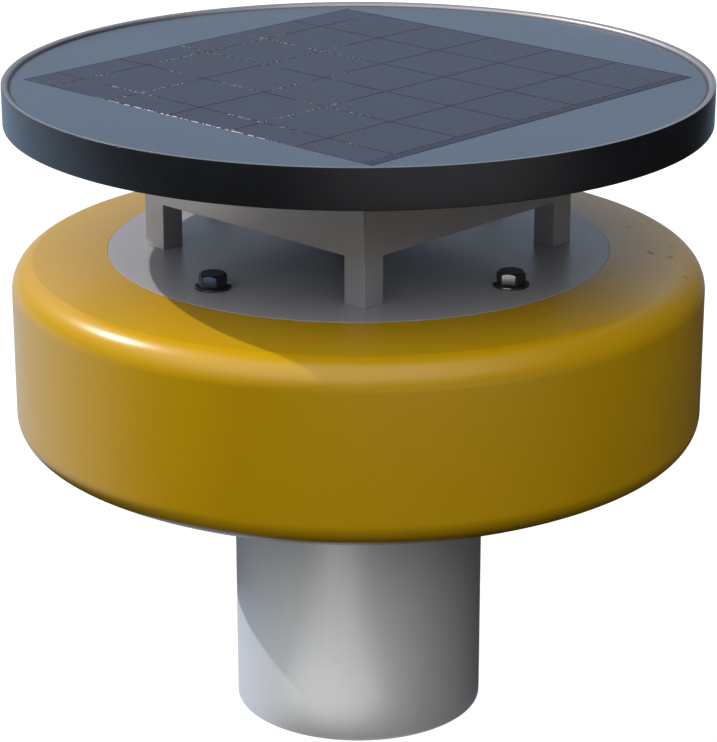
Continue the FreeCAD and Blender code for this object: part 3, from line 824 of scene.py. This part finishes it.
class BUOY_OT_deck(bpy.types.Operator):
    """Finishes the deck plate, and builds the flange bolts on their circle"""
    bl_idname = "buoy.deck"
    bl_label = "Deck and bolts"

    def execute(self, context):
        own = sizes_of("buoy_deck")
        fine_copy("deck_plate", "deck_sheet", "deck_paint", edge=0.4)
        host = self.bolt(own)
        sizes = [
            ("Count", "Int", own.bolt_count),
            ("Circle", "Float", own.bolt_circle * MM),
            ("Height", "Float", DECK_HIGH[2] * MM),
        ]
        tree, given = new_tree("bolts on a circle", sizes)
        index = add_node(tree, "GeometryNodeInputIndex").outputs[0]
        angle = calculate(tree, index, ("DIVIDE", given["Count"]), ("MULTIPLY", math.tau))
        radius = calculate(tree, given["Circle"], ("MULTIPLY", 0.5))
        spot = add_node(tree, "ShaderNodeCombineXYZ", {
            0: calculate(tree, angle, ("COSINE",), ("MULTIPLY", radius)),
            1: calculate(tree, angle, ("SINE",), ("MULTIPLY", radius)),
            2: given["Height"]})
        copies = copies_of(tree, given["Geometry"], given["Count"], spot.outputs[0])
        bolts = bake(host, tree, copies, sizes, "flange_bolts", materials["bolt_black"],
                     BOLT_SHARP)
        face_outwards(bolts, BOLT_SHARP)
        place(bolts, "bolt_black", "deck_bolts")
        return {"FINISHED"}

    def bolt(self, own):
        """One flange bolt, with the deck's top at height 0: rings of points joined by faces."""
        around = 120
        half = own.bolt_flats / 2
        shank = own.bolt_shank / 2
        crown = own.bolt_crown / 2
        flange = BOLT_HIGH[0] - own.bolt_circle / 2
        head = BOLT_HIGH[2] - DECK_HIGH[2]
        tip = BOLT_LOW[2] - DECK_HIGH[2]
        chamfer = 1.5
        # The flange's height at its edge, the hexagon's fillet and worn corners, and the fall of
        # the flange and of the crown
        edge = 2.4
        fillet = 0.5
        worn = 0.25
        slope = math.tan(math.radians(16.0))
        fall = math.tan(math.radians(36.0))

        def outline(angle):
            """The (radius, height) points at this angle, from the tip to the top of the head."""
            off = (angle + math.pi / 6) % (math.pi / 3) - math.pi / 6
            side = min(half / math.cos(off), half / math.cos(math.pi / 6) - worn)
            return [
                (shank - chamfer, tip), (shank, tip + chamfer), (shank, 0.0),
                (flange - 0.4, 0.0), (flange, 0.4), (flange, edge - 0.9),
                (flange - 0.15, edge - 0.35), (flange - 0.6, edge + 0.15),
                (side + fillet, edge + (flange - side - fillet) * slope),
                (side, edge + fillet + (flange - side) * slope),
                (side, head - (side - crown) * fall), (crown, head), (crown - 0.4, head)]

        angles = [math.tau * step / around for step in range(around)]
        rings = list(zip(*(outline(angle) for angle in angles)))
        points = [(radius * math.cos(angle), radius * math.sin(angle), height)
                  for ring in rings for angle, (radius, height) in zip(angles, ring)]
        faces = []
        for start in range(0, (len(rings) - 1) * around, around):
            for step in range(around):
                following = (step + 1) % around
                faces.append((start + step, start + following, start + around + following,
                              start + around + step))
        faces.append(tuple(reversed(range(around))))
        faces.append(tuple(range((len(rings) - 1) * around, len(rings) * around)))
        return mesh_object("flange_bolt", points, faces)


class BUOY_OT_tube(bpy.types.Operator):
    """Builds the tube with its edges broken"""
    bl_idname = "buoy.tube"
    bl_label = "Tube"

    def execute(self, context):
        outer = TUBE_HIGH[0]
        inner = outer - sizes_of("buoy_deck").tube_wall
        low, high = TUBE_LOW[2], TUBE_HIGH[2]
        broken = 0.8
        around = 192
        outline = rounded([(inner, low, broken), (outer, low, broken), (outer, high, 0),
                           (inner, high, 0)])
        tube = turned("well_pipe", outline, around, materials["tube_metal"])
        place(tube, "tube_metal", "well_tube")
        fine_copy("mooring_eye", "mooring_lug", "tube_metal", broken)
        return {"FINISHED"}


class BUOY_OT_stage(bpy.types.Operator):
    """Sets up the floor, the light and the camera"""
    bl_idname = "buoy.stage"
    bl_label = "Stage"

    def execute(self, context):
        own = sizes_of("buoy_stage")
        scene = context.scene
        scene.view_settings.view_transform = "Standard"
        self.floor()
        self.shade_on_ground(own)
        self.sky(own, scene)
        self.sun(own)
        self.tube_glow(own)
        self.float_bounce(own)
        self.bolt_glint(own)
        camera = bpy.data.cameras.new("camera")
        camera.lens = own.lens
        camera.sensor_width = 36.0
        camera.sensor_fit = "AUTO"
        camera.clip_end = 100.0
        viewer = linked("camera", camera)
        viewer.location = (own.camera_distance * math.sin(own.camera_turn),
                           -own.camera_distance * math.cos(own.camera_turn), own.camera_height)
        viewer.rotation_euler = (math.pi / 2 - own.camera_tilt, 0, own.camera_turn)
        scene.camera = viewer
        return {"FINISHED"}

    def floor(self):
        """A white floor that shows no shadow and doesn't tint the buoy."""
        reach = 30000.0
        below = -0.2
        floor = mesh_object("floor", [
            (-reach, -reach, below), (reach, -reach, below), (reach, reach, below),
            (-reach, reach, below)], [(0, 1, 2, 3)])
        material, _, shader, _ = surface("pale floor", "#7c7c7c", 1.0)
        shader.inputs["Specular IOR Level"].default_value = 0.0
        shader.inputs["Emission Color"].default_value = linear("#ffffff")
        shader.inputs["Emission Strength"].default_value = 1.0
        floor.data.materials.append(material)
        floor.visible_diffuse = False
        floor.visible_glossy = False
        floor.visible_transmission = False

    def shade_on_ground(self, own):
        """Ground in the buoy's own shade, far at its front and right and near at its back and left:
        the camera doesn't see it, but the tube and float mirror its darkness."""
        steps = 24
        corners = []
        faces = []
        for start, stop, near, far in ((-130.0, 60.0, own.shade_start, own.shade_reach),
                                       (60.0, 230.0, own.near_start, own.near_reach)):
            first = len(corners)
            for radius, order in ((near / MM, 1), (far / MM, -1)):
                for step in range(steps + 1)[::order]:
                    turn = own.camera_turn + math.radians(start + (stop - start) * step / steps)
                    corners.append((radius * math.cos(turn), radius * math.sin(turn), 0.0))
            faces.append(tuple(range(first, len(corners))))
        dark = mesh_object("shaded_ground", corners, faces)
        dark.data.materials.append(surface("shaded ground", "#101010", 1.0)[0])
        dark.visible_camera = False
        dark.visible_shadow = False

    def sky(self, own, scene):
        """A dull sky with one bright soft side above the camera, dark at the right and below, and
        pale at the left near the ground."""
        world = bpy.data.worlds.new("sky")
        world.use_nodes = True
        tree = world.node_tree
        tree.nodes.clear()
        way = add_node(tree, "ShaderNodeTexCoord").outputs["Generated"]

        def facing(middle, start, stop):
            """How far a direction turns to the middle one, as a smooth share that goes from 0 to 1
            between two cosines."""
            near = add_node(tree, "ShaderNodeVectorMath", {0: way, 1: middle},
                            operation="DOT_PRODUCT")
            return add_node(tree, "ShaderNodeMapRange", {
                "Value": near.outputs["Value"], "From Min": start, "From Max": stop},
                interpolation_type="SMOOTHSTEP").outputs[0]

        def lobe(turn, lift, wide, narrow):
            """The share of a soft cone, whose angles are in degrees."""
            middle = towards(own.camera_turn + math.radians(turn), math.radians(lift))
            return facing(middle, math.cos(math.radians(wide)), math.cos(math.radians(narrow)))

        up = (0, 0, 1)
        rising = calculate(tree, facing(up, 0.2, 0.54), ("MULTIPLY", 0.97), ("ADD", 0.03))
        below = calculate(tree, facing(up, -0.06, 0.0), ("MULTIPLY", -1.0), ("ADD", 1.0))
        front = calculate(tree, lobe(-100.0, 35.0, 70.0, 26.0), ("MULTIPLY", rising))
        left = calculate(tree, lobe(125.0, -15.0, 75.0, 25.0), ("MULTIPLY", below))
        yard = calculate(tree, lobe(-64.0, -18.0, 50.0, 12.0), ("MULTIPLY", below))
        # The horizon, and over it the top, the glow at the far side, the dark right, the bright
        # front, the dark ground, and the pale ground at the far left and the near right
        light = layered(
            tree, (0.08, 0.085, 0.1, 1.0),
            (facing(up, 0.05, 0.8), (0.5, 0.54, 0.62, 1.0)),
            (lobe(92.0, 18.0, 68.0, 15.0), (0.26, 0.32, 0.42, 1.0), "ADD"),
            (lobe(-8.0, 0.0, 88.0, 42.0), (0.04, 0.04, 0.05, 1.0)),
            (front, (1.36, 1.36, 1.36, 1.0), "ADD"),
            (below, (0.02, 0.02, 0.02, 1.0)),
            (left, (0.48, 0.66, 0.9, 1.0), "ADD"),
            (yard, (0.62, 0.62, 0.64, 1.0), "ADD"))
        lit = add_node(tree, "ShaderNodeBackground", {"Color": light, "Strength": 1.0})
        seen = add_node(tree, "ShaderNodeBackground", {"Color": (1, 1, 1, 1), "Strength": 1.0})
        rays = add_node(tree, "ShaderNodeLightPath")
        final = add_node(tree, "ShaderNodeMixShader", {
            0: rays.outputs["Is Camera Ray"], 1: lit.outputs[0], 2: seen.outputs[0]})
        add_node(tree, "ShaderNodeOutputWorld", {"Surface": final.outputs[0]})
        scene.world = world

    def sun(self, own):
        """The sun, as wide as it looks from the ground and a little warm."""
        lamp = bpy.data.lights.new("sun", "SUN")
        lamp.energy = own.sun_strength
        lamp.angle = math.radians(0.53)
        lamp.color = (1.0, 0.94, 0.88)
        sun = linked("sun", lamp)
        way = towards(own.sun_turn, own.sun_height)
        sun.rotation_euler = way.to_track_quat("Z", "Y").to_euler()
        sun.location = way * 3

    def lamp_for(self, piece, name, size, strength, colour=(1.0, 1.0, 1.0)):
        """A soft rectangular lamp that lights one piece alone."""
        lamp = bpy.data.lights.new(name, "AREA")
        lamp.shape = "RECTANGLE"
        lamp.size, lamp.size_y = size
        lamp.energy = strength
        lamp.color = colour
        made = linked(name, lamp)
        made.visible_camera = False
        only = bpy.data.collections.new("lit by the " + name)
        only.objects.link(bpy.data.objects[piece])
        made.light_linking.receiver_collection = only
        return made

    def tube_glow(self, own):
        """Light thrown up at the tube by a bright patch of ground before it."""
        glow = self.lamp_for("well_pipe", "ground glow", (own.glow_length, own.glow_width),
                             own.glow_strength)
        turn = own.camera_turn + own.glow_turn
        glow.rotation_euler = (math.pi, 0, turn)
        glow.location = (own.glow_distance * math.cos(turn), own.glow_distance * math.sin(turn), MM)

    def float_bounce(self, own):
        """Light that the sunlit left of the float throws back at the stand."""
        size = (0.1, 0.03)
        distance = 0.3
        above_deck = 0.03
        rise = 0.02
        bounce = self.lamp_for("welded_stand", "float bounce", size, own.bounce_strength,
                               (1.0, 0.92, 0.88))
        spot = towards(own.camera_turn + math.radians(-168.0)) * distance
        spot.z = DECK_HIGH[2] * MM + above_deck
        target = Vector((POST_LOW[0] * MM, POST_LOW[1] * MM, spot.z + rise))
        bounce.location = spot
        bounce.rotation_euler = (target - spot).to_track_quat("-Z", "Y").to_euler()

    def bolt_glint(self, own):
        """Two small cards whose light shows in the front flats of the bolts, pale in the right-hand
        one and blue in the left-hand one. Those flats face -60 degrees, and each card stands where
        the camera sees its mirror image."""
        deck = sizes_of("buoy_deck")
        size = (0.026, 0.01)
        distance = 0.026
        above_deck = 0.006
        circle = deck.bolt_circle / 2 * MM
        flat = towards(math.radians(-60.0)) * (deck.bolt_flats / 2 * MM)
        away = towards(math.radians(-73.6)) * distance
        high = Vector((0, 0, DECK_HIGH[2] * MM + above_deck))
        for side, turn, colour, share in (("right", 0.0, (1.0, 1.0, 1.0), 1.0),
                                          ("left", -math.pi / 2, (0.3, 0.52, 1.0), 0.36)):
            glint = self.lamp_for("flange_bolts", side + " bolt glint", size,
                                  own.glint_strength * share, colour)
            glint.location = towards(turn) * circle + flat + away + high
            glint.rotation_euler = (-away).to_track_quat("-Z", "Y").to_euler()


class BUOY_PT_pieces(bpy.types.Panel):
    """Lists the buoy's pieces and their sizes"""
    bl_idname = "BUOY_PT_pieces"
    bl_label = "Solar marker buoy"
    bl_space_type = "VIEW_3D"
    bl_region_type = "UI"
    bl_category = "Buoy"

    def draw(self, context):
        for kind in SIZES:
            own = getattr(context.scene, kind)
            column = self.layout.column(align=True)
            for name in own.__annotations__:
                column.prop(own, name)
        for operator in OPERATORS:
            self.layout.operator(operator.bl_idname)


SIZES = {
    "buoy_float": BuoyFloatSizes,
    "buoy_panel": BuoyPanelSizes,
    "buoy_deck": BuoyDeckSizes,
    "buoy_stage": BuoyStageSizes,
}
OPERATORS = (BUOY_OT_finishes, BUOY_OT_float, BUOY_OT_tray, BUOY_OT_cells, BUOY_OT_stand,
             BUOY_OT_deck, BUOY_OT_tube, BUOY_OT_stage)


def register():
    for kind in (*SIZES.values(), *OPERATORS, BUOY_PT_pieces):
        bpy.utils.register_class(kind)
    for name, kind in SIZES.items():
        setattr(bpy.types.Scene, name, PointerProperty(type=kind))


def unregister():
    for name in SIZES:
        delattr(bpy.types.Scene, name)
    for kind in reversed((*SIZES.values(), *OPERATORS, BUOY_PT_pieces)):
        bpy.utils.unregister_class(kind)


def main():
    register()
    bpy.ops.buoy.finishes()
    bpy.ops.buoy.float_skin()
    bpy.ops.buoy.tray()
    bpy.ops.buoy.cells()
    bpy.ops.buoy.stand()
    bpy.ops.buoy.deck()
    bpy.ops.buoy.tube()
    bpy.ops.buoy.stage()


if __name__ == "__main__":
    main()
